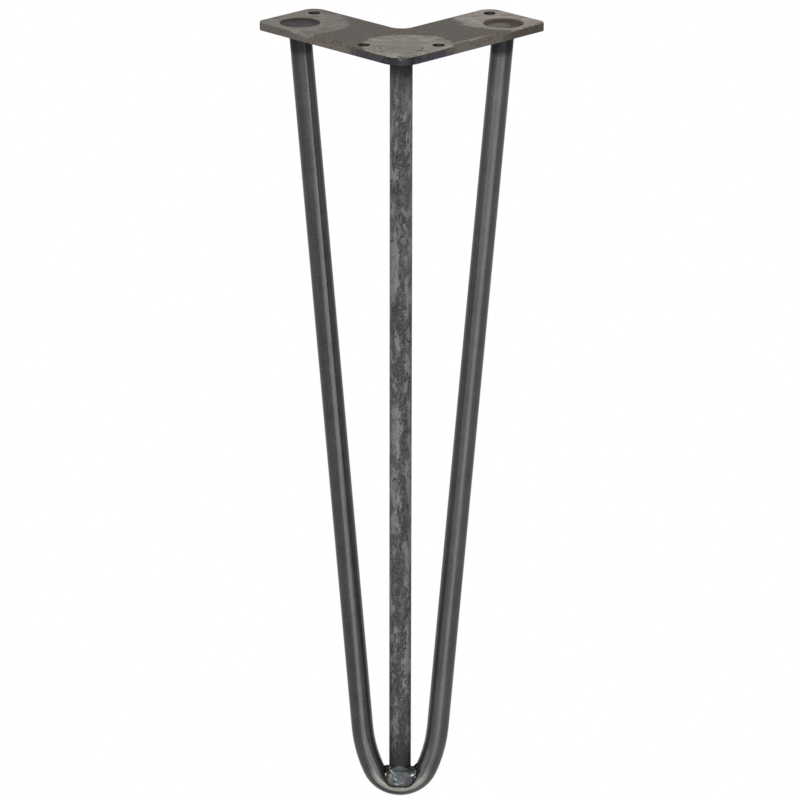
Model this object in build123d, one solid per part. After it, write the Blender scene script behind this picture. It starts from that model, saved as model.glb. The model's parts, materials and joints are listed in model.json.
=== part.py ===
from build123d import *
import os
from math import asin, atan2, cos, hypot, radians, sin, sqrt

# Three-prong hairpin table leg of raw hot-rolled steel: a bent rod, a straight middle rod and an L-shaped
# top plate, joined by four welds.
# Millimetres, +Z up. X = 0 is the plane of symmetry, and the plate's corner points to -Y. The origin lies
# on the plate's top face, half way between the two screw holes beside the corner rod. The leg hangs down.

# Whole leg
overall_height = 355.6
rod_diameter = 10.0

# Top plate, its arms measured along the outer edges from the sharp corner
plate_thickness = 4.0
arm_length = 91.0
arm_width = 35.4
front_corner_radius = 10.5
inner_corner_radius = 6.0
tip_outer_radius = 3.0
tip_inner_radius = 7.0
top_rim_radius = 0.8

# Outer edges, ground away in the middle of each arm by a disc held at half a right angle
edge_grind_from_corner = 51.0
edge_grind_length = 46.0
edge_grind_depth = 1.5

# Screw holes
screw_hole_diameter = 5.4
corner_screw_from_corner = 28.3
corner_screw_inset = 5.3
tip_screw_from_end = 7.8
tip_screw_from_inner_edge = 7.6

# Countersunk rod seats in the plate
seat_diameter = 18.7
seat_land = 0.8
seat_clearance = 0.3
corner_seat_inset = 13.5
tip_seat_from_end = 15.2
tip_seat_inset = 12.0

# Hairpin bend: a tight nose that eases into flatter flanks before the straight prongs
nose_inner_radius = 8.3
nose_half_turn = 66.0
flank_radius = 63.0

# Rod ends
tip_end_depth = 1.6
corner_end_depth = 1.2
foot_root_gap = 0.3

# Welds over the prongs' ends, which stop short of the plate's top face
tip_weld_depth = 1.0

# Foot weld: a row of overlapping puddles melted into both rods on the front of the joint, and a smaller,
# lower row on its back
foot_puddle_pitch = 2.3
foot_puddle_count = 3
foot_puddle_shoulder = 1.7
foot_weld_fused_depth = 2.8
front_puddle_radius = 5.1
front_weld_proud = 1.9
front_weld_below_end = 1.3
back_puddle_radius = 4.2
back_weld_proud = 1.0
back_weld_below_end = 2.9

rod_radius = rod_diameter / 2
nose_radius = nose_inner_radius + rod_radius
seat_hole_radius = rod_radius + seat_clearance
seat_radius = seat_diameter / 2
seat_cone_depth = plate_thickness - seat_land
corner_y = -(corner_screw_from_corner + corner_screw_inset) / sqrt(2)


def on_arm(side, from_corner, inset):
    """Point on the left (-1) or right (1) arm: along its outer edge from the corner, and in from it."""
    return side * (from_corner - inset) / sqrt(2), corner_y + (from_corner + inset) / sqrt(2)


def corner_screw(side):
    return on_arm(side, corner_screw_from_corner, corner_screw_inset)


def tip_screw(side):
    return on_arm(side, arm_length - tip_screw_from_end, arm_width - tip_screw_from_inner_edge)


def tip_seat(side):
    return on_arm(side, arm_length - tip_seat_from_end, tip_seat_inset)


corner_seat = on_arm(1, corner_seat_inset, corner_seat_inset)
tip_seats = [tip_seat(-1), tip_seat(1)]
all_seats = [corner_seat] + tip_seats
sides = (-1, 1)

# The leaning plane of the bent rod: its origin is the lowest point of the rod's centreline
nose_bottom = Vector(corner_seat[0], corner_seat[1], rod_radius - overall_height)
plate_underside = Vector(0, tip_seats[1][1], -plate_thickness)
leg_rise = plate_underside - nose_bottom
leg_length = leg_rise.length
leg_plane = Plane(nose_bottom, x_dir=(1, 0, 0), z_dir=Vector(1, 0, 0).cross(leg_rise))


def seat_cutter(seat):
    """Through hole with a countersink, for one rod end."""
    profile = Polyline(
        (0, -plate_thickness), (seat_hole_radius, -plate_thickness), (seat_hole_radius, -seat_cone_depth),
        (seat_radius, 0), (0, 0), close=True)
    return Pos(seat[0], seat[1], 0) * revolve(Plane.XZ * make_face(profile), Axis.Z)


def edge_grinder(side):
    """Disc that scoops the middle of one outer edge away."""
    disc_radius = (edge_grind_length**2 / 4 + edge_grind_depth**2) / (2 * edge_grind_depth)
    edge_x, edge_y = on_arm(side, edge_grind_from_corner, 0)
    outward = Vector(side, -1, sqrt(2)).normalized()
    disc_axis = Vector(-side, 1, sqrt(2)).normalized()
    disc_centre = Vector(edge_x, edge_y, 0) + outward * (disc_radius - edge_grind_depth)
    return Plane(disc_centre, z_dir=disc_axis) * Cylinder(disc_radius, arm_width)


def make_top_plate():
    left_outer, right_outer = (on_arm(side, arm_length, 0) for side in sides)
    left_inner, right_inner = (on_arm(side, arm_length, arm_width) for side in sides)
    front_corner = on_arm(1, 0, 0)
    inner_corner = on_arm(1, arm_width, arm_width)
    outline = Polyline(
        front_corner, right_outer, right_inner, inner_corner, left_inner, left_outer, close=True)
    plate = extrude(make_face(outline), -plate_thickness)
    for corners, radius in (
            ([front_corner], front_corner_radius), ([inner_corner], inner_corner_radius),
            ([left_outer, right_outer], tip_outer_radius), ([left_inner, right_inner], tip_inner_radius)):
        for corner in corners:
            upright = plate.edges().filter_by(Axis.Z).sort_by_distance((*corner, -plate_thickness / 2))[0]
            plate = fillet(upright, radius)
    plate = fillet(plate.faces().sort_by(Axis.Z)[-1].edges(), top_rim_radius)
    for side in sides:
        plate -= edge_grinder(side)
        for hole in (corner_screw(side), tip_screw(side)):
            plate -= Pos(*hole, -plate_thickness / 2) * Cylinder(screw_hole_diameter / 2, plate_thickness)
    for seat in all_seats:
        plate -= seat_cutter(seat)
    return plate


# Right half of the rod's centreline in the leaning plane: nose arc, flank arc, then a straight prong that
# passes through the seat where it meets the plate's underside
nose_turn = radians(nose_half_turn)
nose_end = Vector(nose_radius * sin(nose_turn), nose_radius * (1 - cos(nose_turn)))
flank_centre = nose_end + Vector(-sin(nose_turn), cos(nose_turn)) * flank_radius
seat_offset = Vector(tip_seats[1][0], leg_length) - flank_centre
prong_lean = atan2(seat_offset.X, seat_offset.Y) - asin(flank_radius / hypot(seat_offset.X, seat_offset.Y))
prong_start = flank_centre + Vector(cos(prong_lean), -sin(prong_lean)) * flank_radius
prong_rise = cos(prong_lean) * leg_plane.y_dir.Z
prong_end_rise = plate_thickness - tip_end_depth - rod_radius * sqrt(1 - prong_rise**2)
prong_end = (Vector(tip_seats[1][0], leg_length)
             + Vector(sin(prong_lean), cos(prong_lean)) * (prong_end_rise / prong_rise))


def mirrored(point):
    return Vector(-point.X, point.Y)


def make_hairpin_rod():
    left_prong = Line(mirrored(prong_end), mirrored(prong_start))
    left_flank = TangentArc(mirrored(prong_start), mirrored(nose_end), tangent=left_prong % 1)
    nose = ThreePointArc(mirrored(nose_end), (0, 0), nose_end)
    right_flank = TangentArc(nose_end, prong_start, tangent=nose % 1)
    right_prong = Line(prong_start, prong_end)
    centreline = leg_plane * Wire([left_prong, left_flank, nose, right_flank, right_prong])
    section = Plane(centreline @ 0, z_dir=centreline % 0) * Circle(rod_radius)
    return sweep(section, path=centreline)


# The middle rod is sawn square and stands inside the bend, on the two sides of its own end
foot_end_rise = nose_radius - sqrt(nose_inner_radius**2 - rod_radius**2) + foot_root_gap
foot_end_z = nose_bottom.Z + foot_end_rise


def make_middle_rod():
    length = -corner_end_depth - foot_end_z
    return Pos(*corner_seat, foot_end_z + length / 2) * Cylinder(rod_radius, length)


def make_seat_weld(seat, depth, rod):
    """Weld metal that fills one countersink over a rod's end, up to a level below the plate's top face."""
    top_radius = seat_radius - (seat_radius - seat_hole_radius) * depth / seat_cone_depth
    profile = Polyline(
        (0, -seat_cone_depth), (seat_hole_radius, -seat_cone_depth), (top_radius, -depth), (0, -depth),
        close=True)
    return Pos(*seat, 0) * revolve(Plane.XZ * make_face(profile), Axis.Z) - rod


def make_foot_puddles(facing, radius, proud, below_end):
    """Row of puddles on the front (-1) or the back (1) of the foot joint."""
    profile = Polyline(
        (0, -foot_weld_fused_depth), (radius, -foot_weld_fused_depth), (radius, 0),
        (radius - foot_puddle_shoulder, proud), (0, proud), close=True)
    puddle = revolve(Plane.XZ * make_face(profile), Axis.Z)
    surface = Vector(0, corner_seat[1] + facing * rod_radius, foot_end_z - below_end)
    row = Plane(surface, x_dir=(1, 0, 0), z_dir=(0, facing, 0))
    puddles = None
    for index in range(foot_puddle_count):
        across = (index - (foot_puddle_count - 1) / 2) * foot_puddle_pitch
        placed = row * Pos(across, 0, 0) * puddle
        puddles = placed if puddles is None else puddles + placed
    return puddles


def make_foot_weld():
    front = make_foot_puddles(-1, front_puddle_radius, front_weld_proud, front_weld_below_end)
    back = make_foot_puddles(1, back_puddle_radius, back_weld_proud, back_weld_below_end)
    return Compound([front, back])


os.makedirs("parts", exist_ok=True)
foot_weld = make_foot_weld()
hairpin_rod = make_hairpin_rod() - foot_weld
middle_rod = make_middle_rod() - foot_weld
export_step(make_top_plate(), "parts/top_plate.step")
export_step(hairpin_rod, "parts/hairpin_rod.step")
export_step(middle_rod, "parts/middle_rod.step")
export_step(foot_weld, "parts/foot_weld.step")
export_step(make_seat_weld(corner_seat, 0, middle_rod), "parts/corner_plug_weld.step")
export_step(make_seat_weld(tip_seat(-1), tip_weld_depth, hairpin_rod), "parts/left_tip_weld.step")
export_step(make_seat_weld(tip_seat(1), tip_weld_depth, hairpin_rod), "parts/right_tip_weld.step")
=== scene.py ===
import json
from math import pi, radians

import bmesh
import bpy
from bpy.props import FloatProperty, FloatVectorProperty, PointerProperty
from mathutils import Matrix, Vector, noise


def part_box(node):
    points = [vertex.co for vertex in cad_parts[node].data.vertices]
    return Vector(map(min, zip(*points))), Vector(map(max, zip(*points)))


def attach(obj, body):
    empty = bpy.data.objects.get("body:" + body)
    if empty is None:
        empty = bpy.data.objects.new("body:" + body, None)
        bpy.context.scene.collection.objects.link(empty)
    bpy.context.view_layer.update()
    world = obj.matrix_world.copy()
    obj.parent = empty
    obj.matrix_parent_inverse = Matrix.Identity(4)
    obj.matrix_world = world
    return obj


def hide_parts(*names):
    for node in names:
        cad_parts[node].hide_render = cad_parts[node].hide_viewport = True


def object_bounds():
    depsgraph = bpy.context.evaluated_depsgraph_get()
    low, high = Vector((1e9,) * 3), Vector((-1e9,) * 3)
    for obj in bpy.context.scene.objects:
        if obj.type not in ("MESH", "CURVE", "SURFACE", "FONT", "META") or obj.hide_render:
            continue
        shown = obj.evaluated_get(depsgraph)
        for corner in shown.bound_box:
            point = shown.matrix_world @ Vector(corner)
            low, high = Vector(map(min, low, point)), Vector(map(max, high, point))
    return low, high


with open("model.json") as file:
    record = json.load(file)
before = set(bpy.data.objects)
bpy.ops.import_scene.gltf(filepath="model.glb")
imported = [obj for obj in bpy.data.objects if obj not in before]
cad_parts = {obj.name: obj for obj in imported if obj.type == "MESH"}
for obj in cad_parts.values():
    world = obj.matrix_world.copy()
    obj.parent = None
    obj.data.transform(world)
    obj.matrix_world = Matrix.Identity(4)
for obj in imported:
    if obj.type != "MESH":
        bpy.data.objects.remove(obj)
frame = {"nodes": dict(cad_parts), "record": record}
cad_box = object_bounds()

bl_info = {
    "name": "Hairpin Leg Finishes",
    "version": (1, 0, 0),
    "blender": (4, 5, 0),
    "location": "3D View > Sidebar > Hairpin Leg",
    "description": "Raw steel finishes, sculpted welds and a studio for a three-prong hairpin table leg",
    "category": "Material",
}

MM = 0.001


def linear(colour):
    """Linear RGBA of an sRGB hex colour."""
    levels = [int(colour[start:start + 2], 16) / 255 for start in (1, 3, 5)]
    return [v / 12.92 if v <= 0.04045 else ((v + 0.055) / 1.055) ** 2.4 for v in levels] + [1.0]


def add(tree, kind, inputs=None, **settings):
    """Adds a node, sets it up, links or fills its inputs, and returns its first output in use."""
    made = tree.nodes.new(kind)
    for name, value in settings.items():
        setattr(made, name, value)
    for key, value in (inputs or {}).items():
        in_use = [socket for socket in made.inputs if socket.enabled]
        socket = made.inputs[key] if isinstance(key, int) else next(s for s in in_use if s.name == key)
        if isinstance(value, bpy.types.NodeSocket):
            tree.links.new(value, socket)
        else:
            socket.default_value = value
    return next((output for output in made.outputs if output.enabled), None)


def new_material(name):
    material = bpy.data.materials.new(name)
    material.use_nodes = True
    material.node_tree.nodes.clear()
    return material


def per_metre(size_mm):
    """Scale of a texture whose features are about this size."""
    return 1 / (size_mm * MM)


def centre_of(node):
    low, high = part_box(node)
    return (low + high) / 2


def on_top_face(node):
    """Centre of a node, taken up to the plate's top face."""
    centre = centre_of(node)
    return Vector((centre.x, centre.y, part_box("top_plate")[1].z))


def right_prong_axis():
    """Direction of the right-hand straight prong, upwards, from the long edges of the bent bar's mesh."""
    mesh = frame["nodes"]["hairpin_rod"].data
    half_leg = (cad_box[1].z - cad_box[0].z) / 2
    total = Vector()
    for edge in mesh.edges:
        ends = sorted((mesh.vertices[index].co for index in edge.vertices), key=lambda co: co.z)
        run = ends[1] - ends[0]
        if run.length > half_leg and ends[0].x > 0:
            total += run
    return total.normalized()


PLUG = on_top_face("corner_plug_weld")
LEFT_SEAT = on_top_face("left_tip_weld")
RIGHT_SEAT = on_top_face("right_tip_weld")
SEAT_RADIUS = (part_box("corner_plug_weld")[1].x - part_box("corner_plug_weld")[0].x) / 2
PLATE_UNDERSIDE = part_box("top_plate")[0].z
# How far the rounding cuts back the plate's sharp front corner
CORNER_ROUNDED_OFF = 4.35 * MM
BEAD = centre_of("foot_weld")
BEAD_FRONT = Vector((BEAD.x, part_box("foot_weld")[0].y, BEAD.z))
BAR_RADIUS = (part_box("middle_rod")[1].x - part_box("middle_rod")[0].x) / 2
# Centreline radius of the tight bend at the foot
BEND_RADIUS = 13.3 * MM
PRONG_AXIS = right_prong_axis()
# Keeps an oxide's reflectance nearly the same from face-on to grazing
EDGE_TINT = linear("#cbcbcb")
# Mill scale is an oxide, part mirror and part dull
SCALE_METALLIC = 0.35
# Floor's radius in metres, whose edge doesn't show against the white surround
FLOOR_RADIUS = 1.5


class BarFinish(bpy.types.PropertyGroup):
    scale_colour: FloatVectorProperty(
        name="Scale", description="Tight mill scale on the rolled bar",
        subtype="COLOR", size=4, default=linear("#343435"))
    worn_colour: FloatVectorProperty(
        name="Worn Scale", description="Mill scale rubbed thin, where the steel starts to show",
        subtype="COLOR", size=4, default=linear("#5f5f5e"))
    pit_colour: FloatVectorProperty(
        name="Pits", description="Dark pits and flaked spots in the scale",
        subtype="COLOR", size=4, default=linear("#272728"))
    flat_colour: FloatVectorProperty(
        name="Dull Scale", description="Dull scale between the flakes on the middle bar",
        subtype="COLOR", size=4, default=linear("#3d3d3e"))
    flake_colour: FloatVectorProperty(
        name="Flakes", description="Pale flakes on the middle bar",
        subtype="COLOR", size=4, default=linear("#636362"))
    # Lengths of the painted shade below the plate: a dark band and dulled sheen where the plate shades the
    # bars
    prong_shade_length: FloatProperty(
        name="Prong Painted Shade", description="How far painted shade reaches below the plate on the prongs",
        unit="LENGTH", default=9.2 * MM)
    middle_shade_length: FloatProperty(
        name="Middle Painted Shade", description="How far the painted shade reaches below the plate on the middle bar",
        unit="LENGTH", default=8.0 * MM)


class PlateFinish(bpy.types.PropertyGroup):
    scale_colour: FloatVectorProperty(
        name="Scale", description="Smooth mill scale of the flat bar",
        subtype="COLOR", size=4, default=linear("#5d5952"))
    corner_colour: FloatVectorProperty(
        name="Dressed Corner", description="Steel dressed with a disc around the corner",
        subtype="COLOR", size=4, default=linear("#a09c92"))
    left_tip_colour: FloatVectorProperty(
        name="Dressed Left Tip", description="Steel dressed with a disc around the left seat",
        subtype="COLOR", size=4, default=linear("#8c8781"))
    right_tip_colour: FloatVectorProperty(
        name="Dressed Right Tip", description="Steel dressed with a disc around the right seat",
        subtype="COLOR", size=4, default=linear("#aaa49c"))
    blued_colour: FloatVectorProperty(
        name="Blued Edge", description="Cut edge that the weld's heat has blued",
        subtype="COLOR", size=4, default=linear("#454350"))
    dressed_radius: FloatProperty(
        name="Dressed Radius", description="Radius of the dressed patch around a weld",
        unit="LENGTH", default=20.5 * MM)


class WeldFinish(bpy.types.PropertyGroup):
    bead_colour: FloatVectorProperty(
        name="Bead", description="Blue-grey skin of the foot bead",
        subtype="COLOR", size=4, default=linear("#3d4143"))
    ripple: FloatProperty(
        name="Ripple", description="Height of the ripples on the foot bead",
        unit="LENGTH", default=0.2 * MM)
    voxel: FloatProperty(
        name="Skin Grid", description="Grid on which the molten lumps are fused",
        unit="LENGTH", default=0.2 * MM)


class StudioSettings(bpy.types.PropertyGroup):
    camera_place: FloatVectorProperty(
        name="Camera", description="Camera's place",
        subtype="XYZ", unit="LENGTH", size=3, default=(7.628 * MM, -1855.402 * MM, 499.447 * MM))
    camera_tilt: FloatProperty(
        name="Tilt", description="How far the camera looks down",
        subtype="ANGLE", default=radians(19.679))
    camera_heading: FloatProperty(
        name="Heading", description="Camera's turn about the upright",
        subtype="ANGLE", default=radians(0.245))
    camera_roll: FloatProperty(
        name="Roll", description="Camera's turn about its own axis",
        subtype="ANGLE", default=radians(0.097))
    camera_lens: FloatProperty(
        name="Lens", description="Focal length",
        unit="CAMERA", default=198.0)
    floor_drop: FloatProperty(
        name="Floor Drop", description="How far the floor lies below the foot",
        unit="LENGTH", default=0.8)
    key_radiance: FloatProperty(
        name="Key Light", description="Brightness of the right softbox, where the white surround is 1",
        default=4.3)
    fill_radiance: FloatProperty(
        name="Fill Light", description="Brightness of the left softbox, where the white surround is 1",
        default=3.0)
    bounce_radiance: FloatProperty(
        name="Bounce Light", description="Brightness of the low panel, where the white surround is 1",
        default=1.6)


class LegSettings(bpy.types.PropertyGroup):
    bar: PointerProperty(type=BarFinish)
    plate: PointerProperty(type=PlateFinish)
    weld: PointerProperty(type=WeldFinish)
    studio: PointerProperty(type=StudioSettings)


def within(tree, place, centre, radius, edge):
    """Mask that is 1 around a point and fades out across an edge of this width."""
    reach = add(tree, "ShaderNodeVectorMath", {0: place, 1: centre},
                operation="DISTANCE").node.outputs["Value"]
    return add(tree, "ShaderNodeMapRange", {
        "Value": reach, "From Min": radius + edge / 2, "From Max": radius - edge / 2},
        interpolation_type="SMOOTHSTEP")


def hot_rolled_bar(finish):
    """Hot-rolled round bar under tight mill scale: dark, slightly glossy, with rubbed lines along the bar.

    The scale is a dark oxide on metal, so it mirrors the room dimly and stays dark at grazing angles.
    """
    material = new_material("hot_rolled_bar")
    tree = material.node_tree
    place = add(tree, "ShaderNodeTexCoord").node.outputs["Object"]
    axes = add(tree, "ShaderNodeSeparateXYZ", {"Vector": place}).node.outputs

    # Bar's own direction on each prong, to draw the rubbed lines out along it
    side = add(tree, "ShaderNodeMath", {0: axes["X"]}, operation="SIGN")
    outward = add(tree, "ShaderNodeMath", {0: side, 1: PRONG_AXIS.x}, operation="MULTIPLY")
    axis = add(tree, "ShaderNodeCombineXYZ", {"X": outward, "Y": PRONG_AXIS.y, "Z": PRONG_AXIS.z})
    along = add(tree, "ShaderNodeVectorMath", {0: place, 1: axis},
                operation="DOT_PRODUCT").node.outputs["Value"]
    line_stretch = 30
    shortened = add(tree, "ShaderNodeMath", {0: along, 1: 1 - 1 / line_stretch}, operation="MULTIPLY")
    taken_off = add(tree, "ShaderNodeVectorMath", {0: axis, "Scale": shortened}, operation="SCALE")
    drawn_out = add(tree, "ShaderNodeVectorMath", {0: place, 1: taken_off}, operation="SUBTRACT")

    lines = add(tree, "ShaderNodeTexNoise", {"Vector": drawn_out, "Scale": per_metre(1.1), "Detail": 4.0})
    blotches = add(tree, "ShaderNodeTexNoise", {"Vector": place, "Scale": per_metre(7.0), "Detail": 5.0})
    specks = add(tree, "ShaderNodeTexNoise", {"Vector": place, "Scale": per_metre(0.6), "Detail": 2.0})
    grain = add(tree, "ShaderNodeTexNoise", {"Vector": place, "Scale": per_metre(0.5), "Detail": 3.0})

    tone = add(tree, "ShaderNodeMath", {0: lines, 1: blotches}, operation="ADD")
    tone = add(tree, "ShaderNodeMapRange", {"Value": tone, "From Min": 0.75, "From Max": 1.25})
    colour = add(tree, "ShaderNodeMix", {"Factor": tone, "A": finish.pit_colour, "B": finish.scale_colour},
                 data_type="RGBA")
    # The left prong is scuffed more than the right one
    speck_share = add(tree, "ShaderNodeMapRange", {
        "Value": side, "From Min": -1.0, "To Min": 0.6, "To Max": 0.2})
    speck_mask = add(tree, "ShaderNodeMapRange", {
        "Value": specks, "From Min": 0.6, "From Max": 0.76, "To Max": speck_share})
    colour = add(tree, "ShaderNodeMix", {"Factor": speck_mask, "A": colour, "B": finish.worn_colour},
                 data_type="RGBA")
    colour = bend_tints_with_painted_light(tree, place, colour)

    polish = add(tree, "ShaderNodeMapRange", {
        "Value": side, "From Min": -1.0, "To Min": 0.08, "To Max": 0.2})
    roughness = add(tree, "ShaderNodeMath", {0: grain, 1: 0.16, 2: polish}, operation="MULTIPLY_ADD")
    bump = add(tree, "ShaderNodeBump", {"Height": grain, "Strength": 0.2, "Distance": 0.03 * MM})
    sheen = add(tree, "ShaderNodeMapRange", {
        "Value": side, "From Min": -1.0, "To Min": 0.58, "To Max": 0.9})
    # A little glossier towards the plate
    near_plate = add(tree, "ShaderNodeMapRange", {
        "Value": axes["Z"], "From Min": -130 * MM, "From Max": -20 * MM, "To Min": 1.0, "To Max": 1.2})
    sheen = add(tree, "ShaderNodeMath", {0: sheen, 1: near_plate}, operation="MULTIPLY")
    # Painted shade below the plate, where the plate shades the prongs
    dulled, darkened = below_plate(tree, place, finish.prong_shade_length, 2 * finish.prong_shade_length)
    scale_with_painted_shade(tree, colour, dulled, darkened, sheen, roughness, bump)
    return material


def below_plate(tree, place, length, fade):
    """Masks of painted shade below the plate: the sheen is taken off for this length, and the colour is
    darkened on beyond.
    """
    height = add(tree, "ShaderNodeSeparateXYZ", {"Vector": place}).node.outputs["Z"]
    end = PLATE_UNDERSIDE - length
    dulled = add(tree, "ShaderNodeMapRange", {
        "Value": height, "From Min": end - 1.5 * MM, "From Max": end + 1.5 * MM})
    darkened = add(tree, "ShaderNodeMapRange", {
        "Value": height, "From Min": end - fade, "From Max": end + 0.6 * length})
    return dulled, darkened


def scale_with_painted_shade(tree, colour, dulled, darkened, sheen, roughness, bump):
    """Mill scale, with painted shade that darkens its colour and takes off its sheen where the masks say."""
    # Painted shade: a darker colour and less sheen
    colour = add(tree, "ShaderNodeMix", {"Factor": darkened, "A": colour, "B": linear("#202022")},
                 data_type="RGBA")
    sheen = add(tree, "ShaderNodeMapRange", {"Value": dulled, "To Min": sheen, "To Max": 0.08})
    shader = add(tree, "ShaderNodeBsdfPrincipled", {
        "Base Color": colour, "Metallic": SCALE_METALLIC, "Roughness": roughness, "Normal": bump,
        "Specular IOR Level": sheen, "Specular Tint": EDGE_TINT})
    add(tree, "ShaderNodeOutputMaterial", {"Surface": shader})


def bend_tints_with_painted_light(tree, place, colour):
    """Colours on the bend around the foot weld: soot with painted shade inside, a painted highlight band
    around it, and a violet heat tint with painted shade underneath.
    """
    wander = add(tree, "ShaderNodeTexNoise", {"Vector": place, "Scale": per_metre(3.0), "Detail": 3.0})
    lowest = Vector((BEAD.x, BEAD_FRONT.y, cad_box[0].z))
    bend = lowest + Vector((0, 0, BAR_RADIUS + BEND_RADIUS))
    spoke = add(tree, "ShaderNodeVectorMath", {0: place, 1: bend}, operation="SUBTRACT")
    spoke = add(tree, "ShaderNodeVectorMath", {0: spoke, 1: (1.0, 0.0, 1.0)}, operation="MULTIPLY")
    reach = add(tree, "ShaderNodeVectorMath", {0: spoke}, operation="LENGTH").node.outputs["Value"]
    reach = add(tree, "ShaderNodeMath", {0: wander, 1: 1.2 * MM, 2: reach}, operation="MULTIPLY_ADD")
    reach = add(tree, "ShaderNodeMath", {0: reach, 1: BEND_RADIUS + 0.6 * MM}, operation="SUBTRACT")
    violet_side = lowest + Vector((-4, 0, 0)) * MM
    for rise, fall, centre, radius, edge, tint, share in (
            # Soot, with painted shade, on the inside of the bend
            ((-0.6, -2.0), None, lowest, 22, 10, "#343230", 0.85),
            # Painted highlight: a pale band along the front of the bend
            ((-1.2, -0.5), (1.9, 1.2), lowest, 17, 10, "#65635e", 0.9),
            # Violet heat tint, with painted shade, underneath
            ((1.2, 2.0), None, violet_side, 9, 6, "#1e1a2b", 0.85)):
        mask = within(tree, place, centre, radius * MM, edge * MM)
        for start, end in filter(None, (rise, fall)):
            step = add(tree, "ShaderNodeMapRange", {
                "Value": reach, "From Min": start * MM, "From Max": end * MM})
            mask = add(tree, "ShaderNodeMath", {0: mask, 1: step}, operation="MULTIPLY")
        mask = add(tree, "ShaderNodeMath", {0: mask, 1: share}, operation="MULTIPLY")
        colour = add(tree, "ShaderNodeMix", {"Factor": mask, "A": colour, "B": linear(tint)},
                     data_type="RGBA")
    return colour


def flaked_bar(finish):
    """Hot-rolled bar whose mill scale has flaked: ragged pale patches among pits that crowd its middle."""
    material = new_material("flaked_bar")
    tree = material.node_tree
    place = add(tree, "ShaderNodeTexCoord").node.outputs["Object"]
    axes = add(tree, "ShaderNodeSeparateXYZ", {"Vector": place}).node.outputs
    drawn_out = add(tree, "ShaderNodeMapping", {"Vector": place, "Scale": (1.0, 1.0, 0.4)})
    drift = add(tree, "ShaderNodeTexNoise", {"Vector": place, "Scale": per_metre(25.0), "Detail": 1.0})
    patches = add(tree, "ShaderNodeTexNoise", {
        "Vector": drawn_out, "Scale": per_metre(3.4), "Detail": 6.0, "Roughness": 0.62})
    pits = add(tree, "ShaderNodeTexNoise", {
        "Vector": drawn_out, "Scale": per_metre(1.0), "Detail": 4.0, "Roughness": 0.7})
    grain = add(tree, "ShaderNodeTexNoise", {"Vector": place, "Scale": per_metre(0.5), "Detail": 3.0})

    # Pits crowd a line down the front that wanders a little, and the flakes thin out towards the foot
    across = add(tree, "ShaderNodeMath", {0: drift, 1: -6 * MM, 2: axes["X"]}, operation="MULTIPLY_ADD")
    across = add(tree, "ShaderNodeMath", {0: across, 1: 2.7 * MM}, operation="ADD")
    across = add(tree, "ShaderNodeMath", {0: across}, operation="ABSOLUTE")
    crowded = add(tree, "ShaderNodeMapRange", {
        "Value": across, "From Min": 0.4 * MM, "From Max": 2.4 * MM, "To Min": 0.1, "To Max": -0.03})
    low_down = add(tree, "ShaderNodeMapRange", {
        "Value": axes["Z"], "From Min": cad_box[0].z, "From Max": cad_box[1].z,
        "To Min": 0.05, "To Max": -0.015})
    swathes = add(tree, "ShaderNodeTexNoise", {"Vector": place, "Scale": per_metre(13.0), "Detail": 2.0})
    swathes = add(tree, "ShaderNodeMapRange", {
        "Value": swathes, "From Min": 0.35, "From Max": 0.65, "To Min": 0.045, "To Max": -0.045})
    pitting = add(tree, "ShaderNodeMath", {0: crowded, 1: low_down}, operation="ADD")
    pitting = add(tree, "ShaderNodeMath", {0: pitting, 1: swathes}, operation="ADD")
    flaking = add(tree, "ShaderNodeMath", {0: patches, 1: pitting}, operation="SUBTRACT")
    pitting = add(tree, "ShaderNodeMath", {0: pits, 1: pitting}, operation="SUBTRACT")

    worn = add(tree, "ShaderNodeMapRange", {"Value": flaking, "From Min": 0.47, "From Max": 0.57})
    colour = add(tree, "ShaderNodeMix", {"Factor": worn, "A": finish.flat_colour, "B": finish.flake_colour},
                 data_type="RGBA")
    pitted = add(tree, "ShaderNodeMapRange", {
        "Value": pitting, "From Min": 0.48, "From Max": 0.41, "To Max": 0.95})
    colour = add(tree, "ShaderNodeMix", {"Factor": pitted, "A": colour, "B": linear("#222223")},
                 data_type="RGBA")
    specks = add(tree, "ShaderNodeTexNoise", {"Vector": place, "Scale": per_metre(0.55), "Detail": 2.0})
    specks = add(tree, "ShaderNodeMapRange", {
        "Value": specks, "From Min": 0.58, "From Max": 0.68, "To Max": 0.6})
    colour = add(tree, "ShaderNodeMix", {"Factor": specks, "A": colour, "B": linear("#6a6a67")},
                 data_type="RGBA")
    roughness = add(tree, "ShaderNodeMapRange", {"Value": worn, "To Min": 0.5, "To Max": 0.62})
    relief = add(tree, "ShaderNodeMath", {0: pits, 1: grain}, operation="ADD")
    bump = add(tree, "ShaderNodeBump", {"Height": relief, "Strength": 0.4, "Distance": 0.06 * MM})
    # Painted shade below the plate, where the plate shades the middle bar
    dulled, darkened = below_plate(tree, place, finish.middle_shade_length, 1.5 * finish.middle_shade_length)
    # Darker and duller towards the foot bead: heat marks, with painted shade where the bead and the prongs
    # crowd the bar
    near_bead = within(tree, place, BEAD_FRONT, 24 * MM, 36 * MM)
    near_bead = add(tree, "ShaderNodeMath", {0: near_bead, 1: 0.8}, operation="MULTIPLY")
    dulled = add(tree, "ShaderNodeMath", {0: dulled, 1: near_bead}, operation="MAXIMUM")
    darkened = add(tree, "ShaderNodeMath", {0: darkened, 1: near_bead}, operation="MAXIMUM")
    scale_with_painted_shade(tree, colour, dulled, darkened, 0.5, roughness, bump)
    return material


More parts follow.
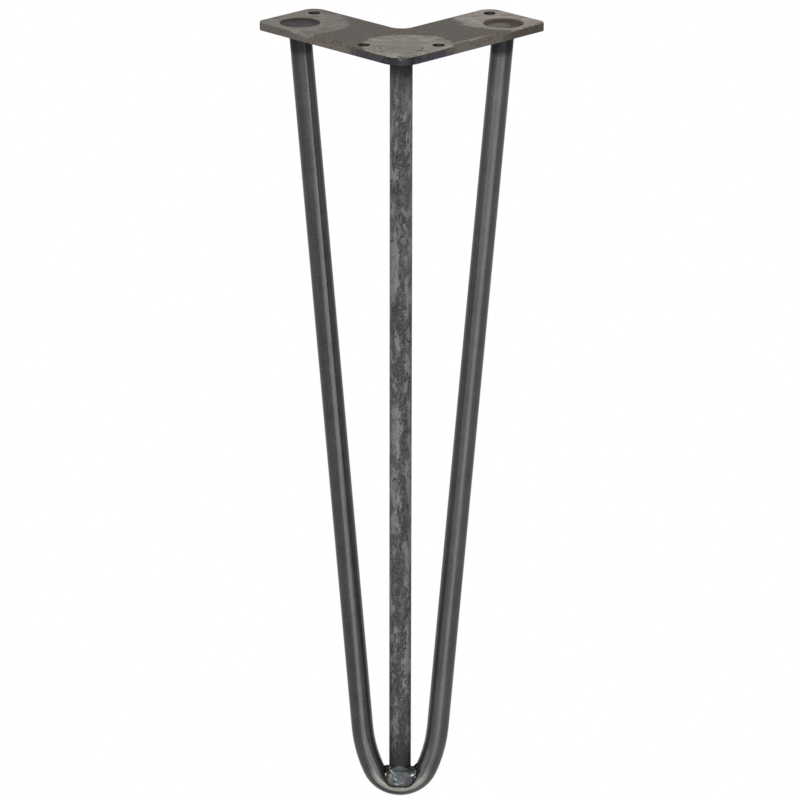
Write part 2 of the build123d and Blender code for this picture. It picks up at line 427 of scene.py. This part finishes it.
def dressed_flat_bar(finish):
    """Flat bar with smooth olive-grey scale, dressed bright around the welds by a grinding disc.

    The scale has a soft, dull sheen, and the dressed patches are paler, with lines across them.
    """
    material = new_material("dressed_flat_bar")
    tree = material.node_tree
    place = add(tree, "ShaderNodeTexCoord").node.outputs["Object"]
    clouds = add(tree, "ShaderNodeTexNoise", {"Vector": place, "Scale": per_metre(12.0), "Detail": 4.0})
    mottle = add(tree, "ShaderNodeTexNoise", {"Vector": place, "Scale": per_metre(3.0), "Detail": 4.0})
    facing = add(tree, "ShaderNodeNewGeometry").node.outputs["Normal"]
    facing = add(tree, "ShaderNodeSeparateXYZ", {"Vector": facing}).node.outputs["Z"]
    scratch_place = add(tree, "ShaderNodeMapping", {"Vector": place, "Scale": (0.35, 1.0, 1.0)})
    scratches = add(tree, "ShaderNodeTexNoise", {
        "Vector": scratch_place, "Scale": per_metre(2.6), "Detail": 5.0, "Roughness": 0.65})

    tone = add(tree, "ShaderNodeMapRange", {"Value": clouds, "From Min": 0.35, "From Max": 0.65})
    colour = add(tree, "ShaderNodeMix", {"Factor": tone, "A": linear("#645b55"), "B": finish.scale_colour},
                 data_type="RGBA")
    lifted = add(tree, "ShaderNodeMapRange", {
        "Value": scratches, "From Min": 0.3, "From Max": 0.7, "To Min": 0.0, "To Max": 0.3})
    colour = add(tree, "ShaderNodeMix", {"Factor": lifted, "A": colour, "B": linear("#7d776f")},
                 data_type="RGBA")
    browned = add(tree, "ShaderNodeMapRange", {
        "Value": mottle, "From Min": 0.48, "From Max": 0.36, "To Max": 0.5})
    colour = add(tree, "ShaderNodeMix", {"Factor": browned, "A": colour, "B": linear("#564d47")},
                 data_type="RGBA")
    plain = colour
    colour = dressed_patches(tree, place, clouds, scratches, colour, finish)
    colour = grit(tree, place, colour)
    colour = seat_walls(tree, place, mottle, colour)
    colour = cut_edges(tree, place, facing, mottle, colour, finish)
    colour = plug_rim(tree, place, colour)
    colour = screw_holes(tree, place, colour)
    colour = underside(tree, facing, colour, plain)

    roughness = add(tree, "ShaderNodeMapRange", {"Value": mottle, "To Min": 0.38, "To Max": 0.52})
    relief = add(tree, "ShaderNodeMath", {0: scratches, 1: mottle}, operation="ADD")
    bump = add(tree, "ShaderNodeBump", {"Height": relief, "Strength": 0.3, "Distance": 0.08 * MM})
    shader = add(tree, "ShaderNodeBsdfPrincipled", {
        "Base Color": colour, "Metallic": 1.0, "Roughness": roughness, "Normal": bump,
        "Specular Tint": EDGE_TINT})
    add(tree, "ShaderNodeOutputMaterial", {"Surface": shader})
    return material


def grit(tree, place, colour):
    """Fine dark and bright specks on the plate's face, left by the disc and by handling."""
    grains = add(tree, "ShaderNodeTexNoise", {"Vector": place, "Scale": per_metre(1.0), "Detail": 3.0})
    for start, end, tint in ((0.47, 0.35, "#433e3a"), (0.56, 0.68, "#a09a90")):
        specks = add(tree, "ShaderNodeMapRange", {
            "Value": grains, "From Min": start, "From Max": end, "To Max": 0.35})
        colour = add(tree, "ShaderNodeMix", {"Factor": specks, "A": colour, "B": linear(tint)},
                     data_type="RGBA")
    return colour


def screw_holes(tree, place, colour):
    """Dark bores of the screw holes, which stand in mirrored pairs."""
    axes = add(tree, "ShaderNodeSeparateXYZ", {"Vector": place}).node.outputs
    folded = add(tree, "ShaderNodeMath", {0: axes["X"]}, operation="ABSOLUTE")
    folded = add(tree, "ShaderNodeCombineXYZ", {"X": folded, "Y": axes["Y"]})
    edge = 0.1 * MM
    for mount in frame["record"]["mounts"]:
        if mount["kind"] == "bolt_pattern":
            centre = (mount["dims"]["spacing_x_mm"] / 2 * MM, mount["pos_m"][1], 0.0)
            bore = within(tree, folded, centre, mount["dims"]["hole_r_mm"] * MM + edge, edge)
            colour = add(tree, "ShaderNodeMix", {"Factor": bore, "A": colour, "B": linear("#584f4d")},
                         data_type="RGBA")
    return colour


def dressed_patches(tree, place, clouds, scratches, colour, finish):
    """Paler, scratched patches around the corner and the tip seats, with wandering edges."""
    wander = add(tree, "ShaderNodeVectorMath", {0: clouds.node.outputs["Color"], 1: (0.5, 0.5, 0.5)},
                 operation="SUBTRACT")
    wander = add(tree, "ShaderNodeVectorMath", {0: wander, "Scale": 9 * MM}, operation="SCALE")
    moved = add(tree, "ShaderNodeVectorMath", {0: place, 1: wander}, operation="ADD")
    lined = add(tree, "ShaderNodeMapRange", {
        "Value": scratches, "From Min": 0.38, "From Max": 0.58, "To Min": 0.3, "To Max": 1.0})
    for centre, offset, spread, edge, tint in (
            (PLUG, (2.5, 1.6), 1.0, 2.0, finish.corner_colour),
            (LEFT_SEAT, (1.5, -0.5), 0.98, 5.0, finish.left_tip_colour),
            (RIGHT_SEAT, (-2.0, 7.5), 0.95, 4.0, finish.right_tip_colour)):
        middle = centre + Vector((*offset, 0.0)) * MM
        share = within(tree, moved, middle, spread * finish.dressed_radius, edge * MM)
        share = add(tree, "ShaderNodeMath", {0: share, 1: lined}, operation="MULTIPLY")
        colour = add(tree, "ShaderNodeMix", {"Factor": share, "A": colour, "B": tint}, data_type="RGBA")
    return colour


def cut_edges(tree, place, facing, mottle, colour, finish):
    """Edges: blued at the corner, dressed pale along the arms, brown with rust at the tips, and dented."""
    axes = add(tree, "ShaderNodeSeparateXYZ", {"Vector": place}).node.outputs
    upright = add(tree, "ShaderNodeMapRange", {"Value": facing, "From Min": 0.5, "From Max": 0.2})
    wander = add(tree, "ShaderNodeMath", {0: mottle, 1: 12 * MM, 2: -6 * MM}, operation="MULTIPLY_ADD")
    from_middle = add(tree, "ShaderNodeMath", {0: axes["X"]}, operation="ABSOLUTE")
    from_middle = add(tree, "ShaderNodeMath", {0: from_middle, 1: wander}, operation="ADD")
    right = add(tree, "ShaderNodeMath", {0: axes["X"], 1: 0.0}, operation="GREATER_THAN")
    arm = add(tree, "ShaderNodeMix", {"Factor": right, "A": linear("#69645f"), "B": linear("#67635d")},
              data_type="RGBA")
    tip = add(tree, "ShaderNodeMix", {"Factor": right, "A": linear("#625d59"), "B": linear("#524b46")},
              data_type="RGBA")
    blued_depth = 2.5 * MM
    blued_fade = 0.3 * MM
    upper = add(tree, "ShaderNodeMapRange", {
        "Value": axes["Z"], "From Min": -blued_depth - blued_fade, "From Max": -blued_depth + blued_fade})
    blued = add(tree, "ShaderNodeMix", {"Factor": upper, "A": finish.blued_colour, "B": linear("#464445")},
                data_type="RGBA")
    # Burnt nearly black at the corner itself, then one colour after another along each arm
    edge = linear("#2a2b2f")
    for start, end, tint in ((5, 9, blued), (19, 25, arm), (42, 50, tip)):
        reached = add(tree, "ShaderNodeMapRange", {
            "Value": from_middle, "From Min": start * MM, "From Max": end * MM})
        edge = add(tree, "ShaderNodeMix", {"Factor": reached, "A": edge, "B": tint}, data_type="RGBA")
    dents = add(tree, "ShaderNodeTexNoise", {"Vector": place, "Scale": per_metre(1.6), "Detail": 3.0})
    dents = add(tree, "ShaderNodeMapRange", {
        "Value": dents, "From Min": 0.4, "From Max": 0.33, "To Max": 0.7})
    edge = add(tree, "ShaderNodeMix", {"Factor": dents, "A": edge, "B": linear("#2b2928")},
               data_type="RGBA")
    colour = add(tree, "ShaderNodeMix", {"Factor": upright, "A": colour, "B": edge}, data_type="RGBA")

    # Bright line that the disc left along the rim of the right arm, with a painted highlight on it
    inward = Vector((-1.0, 1.0, 0.0)).normalized()
    sharp_corner = Vector((0.0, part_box("top_plate")[0].y - CORNER_ROUNDED_OFF, 0.0))
    inset = add(tree, "ShaderNodeVectorMath", {0: place, 1: inward}, operation="DOT_PRODUCT")
    inset = add(tree, "ShaderNodeMath", {0: inset.node.outputs["Value"], 1: inward.dot(sharp_corner)},
                operation="SUBTRACT")
    line = add(tree, "ShaderNodeMath", {0: inset, 1: 2.3 * MM, 2: 0.8 * MM}, operation="COMPARE")
    start = add(tree, "ShaderNodeMapRange", {
        "Value": from_middle, "From Min": 18 * MM, "From Max": 22 * MM})
    end = add(tree, "ShaderNodeMapRange", {"Value": from_middle, "From Min": 40 * MM, "From Max": 32 * MM})
    for share in (start, end, right, mottle, 1.3):
        line = add(tree, "ShaderNodeMath", {0: line, 1: share}, operation="MULTIPLY")
    colour = add(tree, "ShaderNodeMix", {"Factor": line, "A": colour, "B": linear("#948f7e")},
                 data_type="RGBA")

    # Bright nicks on the rim at the corner
    nicks = add(tree, "ShaderNodeTexNoise", {"Vector": place, "Scale": per_metre(0.8), "Detail": 2.0})
    nicks = add(tree, "ShaderNodeMapRange", {"Value": nicks, "From Min": 0.54, "From Max": 0.62})
    corner = Vector((0.5 * MM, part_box("top_plate")[0].y, -0.2 * MM))
    nicks = add(tree, "ShaderNodeMath", {0: nicks, 1: within(tree, place, corner, 1.9 * MM, 0.8 * MM)},
                operation="MULTIPLY")
    return add(tree, "ShaderNodeMix", {"Factor": nicks, "A": colour, "B": linear("#565450")},
               data_type="RGBA")


def underside(tree, facing, colour, plain):
    """Plain scale on the underside, which the disc never reached."""
    below = add(tree, "ShaderNodeMapRange", {"Value": facing, "From Min": -0.5, "From Max": -0.8})
    return add(tree, "ShaderNodeMix", {"Factor": below, "A": colour, "B": plain}, data_type="RGBA")


def seat_walls(tree, place, mottle, colour):
    """Walls of the tip seats, never cleaned after welding: the left one dark with painted shade, the right
    one rusty. The pale rims are dressed by the disc and carry a painted highlight towards the front.
    """
    for seat, rim, wall_shade_and_rust in ((LEFT_SEAT, "#8c897a", "#423e3c"), (RIGHT_SEAT, "#999583", "#594d44")):
        # Painted highlight on the rim, strongest on its front side
        painted_rim_highlight = within(tree, place, seat + Vector((0.4, -1.2, 0.0)) * MM, SEAT_RADIUS + 1.5 * MM, 3.4 * MM)
        patchy = add(tree, "ShaderNodeMapRange", {
            "Value": mottle, "From Min": 0.35, "From Max": 0.55, "To Min": 0.2, "To Max": 0.8})
        painted_rim_highlight = add(tree, "ShaderNodeMath", {0: painted_rim_highlight, 1: patchy}, operation="MULTIPLY")
        colour = add(tree, "ShaderNodeMix", {"Factor": painted_rim_highlight, "A": colour, "B": linear(rim)},
                     data_type="RGBA")
        # Left wall darkened with painted shade, right wall rusty
        inside = within(tree, place, seat, SEAT_RADIUS - 0.3 * MM, 0.7 * MM)
        colour = add(tree, "ShaderNodeMix", {"Factor": inside, "A": colour, "B": linear(wall_shade_and_rust)},
                     data_type="RGBA")
    return colour


def plug_rim(tree, place, colour):
    """Browner plug weld, with dark hairlines beside it where it isn't quite flush with the plate."""
    plug = within(tree, place, PLUG, SEAT_RADIUS, 1.0 * MM)
    plug = add(tree, "ShaderNodeMath", {0: plug, 1: 0.3}, operation="MULTIPLY")
    colour = add(tree, "ShaderNodeMix", {"Factor": plug, "A": colour, "B": linear("#7d766e")},
                 data_type="RGBA")
    outer = within(tree, place, PLUG, SEAT_RADIUS + 0.35 * MM, 0.3 * MM)
    inner = within(tree, place, PLUG, SEAT_RADIUS - 0.35 * MM, 0.3 * MM)
    ring = add(tree, "ShaderNodeMath", {0: outer, 1: inner}, operation="SUBTRACT")
    spoke = add(tree, "ShaderNodeVectorMath", {0: place, 1: PLUG}, operation="SUBTRACT")
    spoke = add(tree, "ShaderNodeVectorMath", {0: spoke}, operation="NORMALIZE")
    for angle, share in ((185, 0.5), (-20, 0.9)):
        middle = Matrix.Rotation(radians(angle), 3, "Z") @ Vector((1, 0, 0))
        arc = add(tree, "ShaderNodeVectorMath", {0: spoke, 1: middle}, operation="DOT_PRODUCT")
        arc = add(tree, "ShaderNodeMapRange", {
            "Value": arc.node.outputs["Value"], "From Min": 0.82, "From Max": 0.93, "To Max": share})
        arc = add(tree, "ShaderNodeMath", {0: arc, 1: ring}, operation="MULTIPLY")
        colour = add(tree, "ShaderNodeMix", {"Factor": arc, "A": colour, "B": linear("#34322f")},
                     data_type="RGBA")
    return colour


def weld_skin(name, main, second, roughness, patches=(), specked=0.0):
    """Bare weld metal as it froze: glossy, with patches of colour, among them painted highlights and painted
    shade, and specks where it is dirty.
    """
    material = new_material(name)
    tree = material.node_tree
    place = add(tree, "ShaderNodeTexCoord").node.outputs["Object"]
    islands = add(tree, "ShaderNodeTexNoise", {"Vector": place, "Scale": per_metre(3.2), "Detail": 3.0})
    flecks = add(tree, "ShaderNodeTexNoise", {"Vector": place, "Scale": per_metre(1.1), "Detail": 4.0})
    low = add(tree, "ShaderNodeMapRange", {"Value": islands, "From Min": 0.52, "From Max": 0.4})
    colour = add(tree, "ShaderNodeMix", {"Factor": low, "A": main, "B": linear(second)}, data_type="RGBA")
    for centre, size, turn, tint in patches:
        local = add(tree, "ShaderNodeMapping", {
            "Vector": place, "Location": centre, "Rotation": (0.0, radians(turn), 0.0), "Scale": size},
            vector_type="TEXTURE")
        mask = within(tree, local, (0.0, 0.0, 0.0), 1.0, 0.7)
        colour = add(tree, "ShaderNodeMix", {"Factor": mask, "A": colour, "B": linear(tint)},
                     data_type="RGBA")
    if specked:
        dirt = add(tree, "ShaderNodeMapRange", {
            "Value": flecks, "From Min": 0.52, "From Max": 0.4, "To Max": specked})
        colour = add(tree, "ShaderNodeMix", {"Factor": dirt, "A": colour, "B": linear("#2e2b2a")},
                     data_type="RGBA")
    gloss = add(tree, "ShaderNodeMapRange", {
        "Value": flecks, "To Min": roughness - 0.1, "To Max": roughness + 0.1})
    bump = add(tree, "ShaderNodeBump", {"Height": flecks, "Strength": 0.25, "Distance": 0.1 * MM})
    shader = add(tree, "ShaderNodeBsdfPrincipled", {
        "Base Color": colour, "Metallic": 1.0, "Roughness": gloss, "Normal": bump,
        "Specular Tint": EDGE_TINT})
    add(tree, "ShaderNodeOutputMaterial", {"Surface": shader})
    return material


def finish_node(node, material):
    """Puts a finish on a carried-over solid."""
    slots = frame["nodes"][node].data.materials
    slots.clear()
    slots.append(material)


def link(name, mesh):
    piece = bpy.data.objects.new(name, mesh)
    bpy.context.scene.collection.objects.link(piece)
    return piece


def fused_lumps(name, node, lumps, finish):
    """A weld's solid with molten lumps added, fused into one skin that ripples."""
    shape = bmesh.new()
    shape.from_mesh(frame["nodes"][node].data)
    bmesh.ops.remove_doubles(shape, verts=shape.verts, dist=0.01 * MM)
    for place, size, turn in lumps:
        matrix = (Matrix.Translation(place) @ Matrix.Rotation(radians(turn), 4, "Y")
                  @ Matrix.Diagonal((*size, 1)))
        bmesh.ops.create_icosphere(shape, subdivisions=3, radius=1.0, matrix=matrix)
    rough = bpy.data.meshes.new(name + "_rough")
    shape.to_mesh(rough)
    shape.free()
    piece = link(name, rough)
    fuse = piece.modifiers.new("Fuse", "REMESH")
    fuse.mode = "VOXEL"
    fuse.voxel_size = finish.voxel
    flow = piece.modifiers.new("Flow", "SMOOTH")
    flow.factor = 0.5
    flow.iterations = 8
    fused = bpy.data.meshes.new_from_object(piece.evaluated_get(bpy.context.evaluated_depsgraph_get()))
    piece.modifiers.clear()
    piece.data = fused
    bpy.data.meshes.remove(rough)
    fused.name = name
    # Ripples, and a little growth that makes up for the smoothing
    normals = [entry.vector.copy() for entry in fused.vertex_normals]
    for vertex, normal in zip(fused.vertices, normals):
        swell = noise.fractal(vertex.co * per_metre(4.0), 0.9, 2.0, 2)
        vertex.co += normal * (swell * finish.ripple + 0.6 * finish.voxel)
    fused.shade_smooth()
    return piece


# How deep a colour reaches into the foot bead, in millimetres
PATCH_DEPTH = 4.0
# Foot bead, in millimetres from the middle of its front: place, half sizes, turn in degrees
BEAD_SWELLS = (
    # Slope up the middle bar, shoulders and lower lip
    ((0.0, 6.0, 1.2), (5.0, 5.8, 6.6), 0),
    ((5.6, 2.2, 3.0), (1.8, 1.9, 1.5), 0),
    ((5.5, 1.9, 0.6), (1.7, 1.6, 1.6), 0),
    ((-4.2, 2.0, 2.2), (1.3, 1.7, 2.6), 0),
    ((0.6, 1.7, -2.3), (2.6, 1.7, 1.2), 0),
    ((-2.2, 1.7, -1.2), (2.0, 1.6, 1.5), 0),
    # Metal that ran into the two crotches
    ((-7.3, 7.6, 1.5), (1.7, 2.0, 2.8), -30),
    ((-5.9, 7.0, 2.7), (1.2, 1.8, 1.5), 0),
    ((7.9, 7.5, 2.1), (2.2, 2.0, 3.8), 30),
    ((5.7, 7.0, 2.0), (1.4, 1.8, 1.8), 0))
# Ridges and drops, each with a painted highlight in its colour where it catches the light
BEAD_RIDGES = (
    ((-3.85, 1.3, 4.2), (1.5, 0.8, 0.5), 36, "#69716e"),
    ((-4.3, 0.3, 2.05), (1.1, 0.7, 0.5), 62, "#68706e"),
    ((-2.75, 0.3, 1.9), (0.8, 0.6, 0.4), -48, "#59605e"),
    ((-1.8, 0.2, 0.2), (1.3, 0.6, 0.5), 37, "#69716f"),
    ((6.4, 0.7, 2.6), (1.0, 0.7, 0.45), -31, "#6a7370"),
    ((7.1, 1.9, 3.7), (0.7, 0.8, 0.4), 90, "#646d68"),
    ((5.7, 0.5, 2.3), (0.6, 0.7, 0.5), 0, "#a3aaaa"),
    ((6.9, 1.0, 1.2), (0.5, 0.6, 0.3), 60, "#6a6f70"),
    ((-1.55, 0.3, -2.2), (0.9, 0.7, 0.45), 20, "#7b7476"),
    ((1.0, 0.4, -1.9), (1.4, 0.8, 0.9), -15, "#544f50"),
    ((-6.5, 1.0, 2.5), (0.5, 0.8, 0.8), 0, "#8b8583"))
# Colours of the skin, oxide with painted shade and painted light among them: place, half width and half
# height, turn in degrees, colour
BEAD_PATCHES = (
    # Brown oxide with painted shade along the bead's edge
    ((-7.3, 1.5, 2.0), (2.0, 3.0), 0, "#3a3633"),
    ((-6.0, 1.5, -1.3), (1.6, 1.8), 0, "#3a3630"),
    ((-4.0, 1.5, -3.6), (1.9, 1.9), 0, "#37322d"),
    ((0.0, 1.5, -5.2), (3.6, 1.6), 0, "#2f2926"),
    ((4.0, 1.5, -3.9), (2.0, 1.6), 0, "#332e2b"),
    ((6.8, 1.5, -1.6), (1.6, 1.7), 0, "#35302d"),
    ((8.8, 1.5, 2.0), (1.3, 3.0), 0, "#33302e"),
    # Oxide colours
    ((4.2, 1.5, 4.1), (2.0, 1.2), 0, "#3b3a33"),
    # Painted shade in the crease beside the middle bar
    ((4.3, 2.2, 5.5), (1.1, 0.8), 30, "#1f1e1e"),
    # Oxide colours
    ((4.4, 1.5, 0.4), (2.2, 1.0), -20, "#343238"),
    ((-2.9, 1.5, -0.6), (1.4, 0.8), 20, "#30373f"),
    ((3.4, 1.5, -1.6), (2.4, 1.2), -20, "#2f3033"),
    # Painted light on the slope up the middle bar, lifting its shade
    ((-0.8, 1.5, 5.5), (3.8, 1.5), 0, "#51575a"),
    # Oxide in the two crotches
    ((-7.8, 8.0, 5.5), (4.0, 7.0), 0, "#3b3735"),
    ((8.0, 8.0, 5.5), (4.0, 7.5), 0, "#3a3635"))


class LEG_OT_bent_bar(bpy.types.Operator):
    """Give the bent bar its mill scale"""
    bl_idname = "hairpin_leg.bent_bar"
    bl_label = "Finish Bent Bar"

    def execute(self, context):
        finish_node("hairpin_rod", hot_rolled_bar(context.scene.hairpin_leg.bar))
        return {"FINISHED"}


class LEG_OT_middle_bar(bpy.types.Operator):
    """Give the straight middle bar its flaked scale"""
    bl_idname = "hairpin_leg.middle_bar"
    bl_label = "Finish Middle Bar"

    def execute(self, context):
        finish_node("middle_rod", flaked_bar(context.scene.hairpin_leg.bar))
        return {"FINISHED"}


class LEG_OT_top_plate(bpy.types.Operator):
    """Give the plate and the plug weld that is ground flush with it their dressed surface"""
    bl_idname = "hairpin_leg.top_plate"
    bl_label = "Finish Top Plate"

    def execute(self, context):
        material = dressed_flat_bar(context.scene.hairpin_leg.plate)
        finish_node("top_plate", material)
        finish_node("corner_plug_weld", material)
        return {"FINISHED"}


class LEG_OT_tip_welds(bpy.types.Operator):
    """Give the welds in the tip seats their dull skin"""
    bl_idname = "hairpin_leg.tip_welds"
    bl_label = "Finish Tip Welds"

    def execute(self, context):
        left = weld_skin("dull_seat_weld", linear("#585756"), "#474543", 0.5, specked=0.7)
        blob = RIGHT_SEAT + Vector((-1.9, -1.4, -1.0)) * MM
        patches = [(blob, Vector((4.6, 4.6, 4.6)) * MM, 0, "#7a7472")]
        right = weld_skin("rusty_seat_weld", linear("#5a4e45"), "#51473f", 0.5, patches, specked=0.6)
        finish_node("left_tip_weld", left)
        finish_node("right_tip_weld", right)
        return {"FINISHED"}


class LEG_OT_foot_bead(bpy.types.Operator):
    """Sculpt the weld bead at the foot, with the metal that ran into the two crotches"""
    bl_idname = "hairpin_leg.foot_bead"
    bl_label = "Sculpt Foot Bead"

    def execute(self, context):
        finish = context.scene.hairpin_leg.weld
        lumps = []
        patches = []
        for place, size, turn, *_ in BEAD_SWELLS + BEAD_RIDGES:
            lumps.append((BEAD_FRONT + Vector(place) * MM, Vector(size) * MM, turn))
        for place, (width, *_, height), turn, tint in BEAD_PATCHES + BEAD_RIDGES:
            size = Vector((width, PATCH_DEPTH, height))
            patches.append((BEAD_FRONT + Vector(place) * MM, size * MM, turn, tint))
        bead = fused_lumps("foot_bead", "foot_weld", lumps, finish)
        skin = weld_skin("foot_bead_skin", finish.bead_colour, "#383b3d", 0.36, patches)
        bead.data.materials.append(skin)
        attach(bead, "root")
        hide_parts("foot_weld")
        return {"FINISHED"}


class LEG_OT_studio(bpy.types.Operator):
    """Set the white surround, the floor, the softboxes and the camera"""
    bl_idname = "hairpin_leg.studio"
    bl_label = "Set Studio"

    def execute(self, context):
        settings = context.scene.hairpin_leg.studio
        set_surround(context.scene)
        floor_level = cad_box[0].z - settings.floor_drop
        lay_floor(floor_level)
        for name, heading, distance, level, width, height, roll, radiance in (
                ("key_softbox", 14.0, 3.0, -0.62, 3.56, 0.8, 24.0, settings.key_radiance),
                ("fill_softbox", -23.7, 3.0, 0.66, 4.49, 1.62, 3.8, settings.fill_radiance),
                ("floor_bounce", 0, 0.5, -0.8, 0.7, 0.53, 0, settings.bounce_radiance)):
            hang_softbox(name, heading, distance, level, width, height, roll, radiance)
        set_camera(context.scene, settings)
        context.scene.view_settings.view_transform = "Standard"
        return {"FINISHED"}


def seen_directly(tree):
    """1 for what the camera, a mirror or a glass shows, 0 for light that spreads."""
    path = add(tree, "ShaderNodeLightPath").node.outputs
    shown = add(tree, "ShaderNodeMath", {0: path["Is Camera Ray"], 1: path["Is Glossy Ray"]},
                operation="MAXIMUM")
    return add(tree, "ShaderNodeMath", {0: shown, 1: path["Is Transmission Ray"]}, operation="MAXIMUM")


def set_surround(scene):
    """White sweep all round, which lights the leg softly."""
    world = bpy.data.worlds.new("white_surround")
    world.use_nodes = True
    tree = world.node_tree
    tree.nodes.clear()
    shown = seen_directly(tree)
    strength = add(tree, "ShaderNodeMapRange", {"Value": shown, "To Min": 0.75, "To Max": 1.0})
    background = add(tree, "ShaderNodeBackground", {"Color": linear("#ffffff"), "Strength": strength})
    add(tree, "ShaderNodeOutputWorld", {"Surface": background})
    scene.world = world


def lay_floor(level):
    """White floor far below the foot, which looks plain white and lights the leg from below."""
    material = new_material("white_floor")
    tree = material.node_tree
    matt = add(tree, "ShaderNodeBsdfDiffuse", {"Color": linear("#f2f2f0")})
    white = add(tree, "ShaderNodeEmission", {"Color": linear("#ffffff"), "Strength": 1.0})
    surface = add(tree, "ShaderNodeMixShader", {0: seen_directly(tree), 1: matt, 2: white})
    add(tree, "ShaderNodeOutputMaterial", {"Surface": surface})
    shape = bmesh.new()
    ground = Matrix.Translation((0, 0, level))
    bmesh.ops.create_circle(shape, cap_ends=True, segments=96, radius=FLOOR_RADIUS, matrix=ground)
    mesh = bpy.data.meshes.new("floor")
    shape.to_mesh(mesh)
    shape.free()
    mesh.materials.append(material)
    link("floor", mesh)


def hang_softbox(name, heading, distance, level, width, height, roll, radiance):
    """Softbox in front of the leg, facing it, which draws a bright line along the bars."""
    light = bpy.data.lights.new(name, "AREA")
    light.shape = "RECTANGLE"
    light.size = width
    light.size_y = height
    light.energy = radiance * pi * width * height
    lamp = bpy.data.objects.new(name, light)
    lamp.matrix_world = (
        Matrix.Rotation(radians(heading), 4, "Z") @ Matrix.Translation((0, -distance, level))
        @ Matrix.Rotation(radians(90), 4, "X") @ Matrix.Rotation(radians(roll), 4, "Z"))
    lamp.visible_camera = False
    bpy.context.scene.collection.objects.link(lamp)


def set_camera(scene, settings):
    data = bpy.data.cameras.new("photo_camera")
    data.lens = settings.camera_lens
    camera = bpy.data.objects.new("photo_camera", data)
    camera.matrix_world = (
        Matrix.Translation(settings.camera_place) @ Matrix.Rotation(settings.camera_heading, 4, "Z")
        @ Matrix.Rotation(radians(90) - settings.camera_tilt, 4, "X")
        @ Matrix.Rotation(settings.camera_roll, 4, "Z"))
    scene.collection.objects.link(camera)
    scene.camera = camera


STEPS = (
    LEG_OT_bent_bar, LEG_OT_middle_bar, LEG_OT_top_plate, LEG_OT_tip_welds, LEG_OT_foot_bead, LEG_OT_studio)


class VIEW3D_PT_hairpin_leg(bpy.types.Panel):
    bl_label = "Hairpin Leg"
    bl_space_type = "VIEW_3D"
    bl_region_type = "UI"
    bl_category = "Hairpin Leg"

    def draw(self, context):
        settings = context.scene.hairpin_leg
        for group in (settings.bar, settings.plate, settings.weld, settings.studio):
            box = self.layout.box()
            for name in group.bl_rna.properties.keys():
                if name not in ("rna_type", "name"):
                    box.prop(group, name)
        for step in STEPS:
            self.layout.operator(step.bl_idname)


CLASSES = (BarFinish, PlateFinish, WeldFinish, StudioSettings, LegSettings, *STEPS, VIEW3D_PT_hairpin_leg)


def register():
    for cls in CLASSES:
        bpy.utils.register_class(cls)
    bpy.types.Scene.hairpin_leg = PointerProperty(type=LegSettings)


def unregister():
    del bpy.types.Scene.hairpin_leg
    for cls in reversed(CLASSES):
        bpy.utils.unregister_class(cls)


def main():
    register()
    bpy.ops.hairpin_leg.bent_bar()
    bpy.ops.hairpin_leg.middle_bar()
    bpy.ops.hairpin_leg.top_plate()
    bpy.ops.hairpin_leg.tip_welds()
    bpy.ops.hairpin_leg.foot_bead()
    bpy.ops.hairpin_leg.studio()
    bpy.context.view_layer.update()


if __name__ == "__main__":
    main()
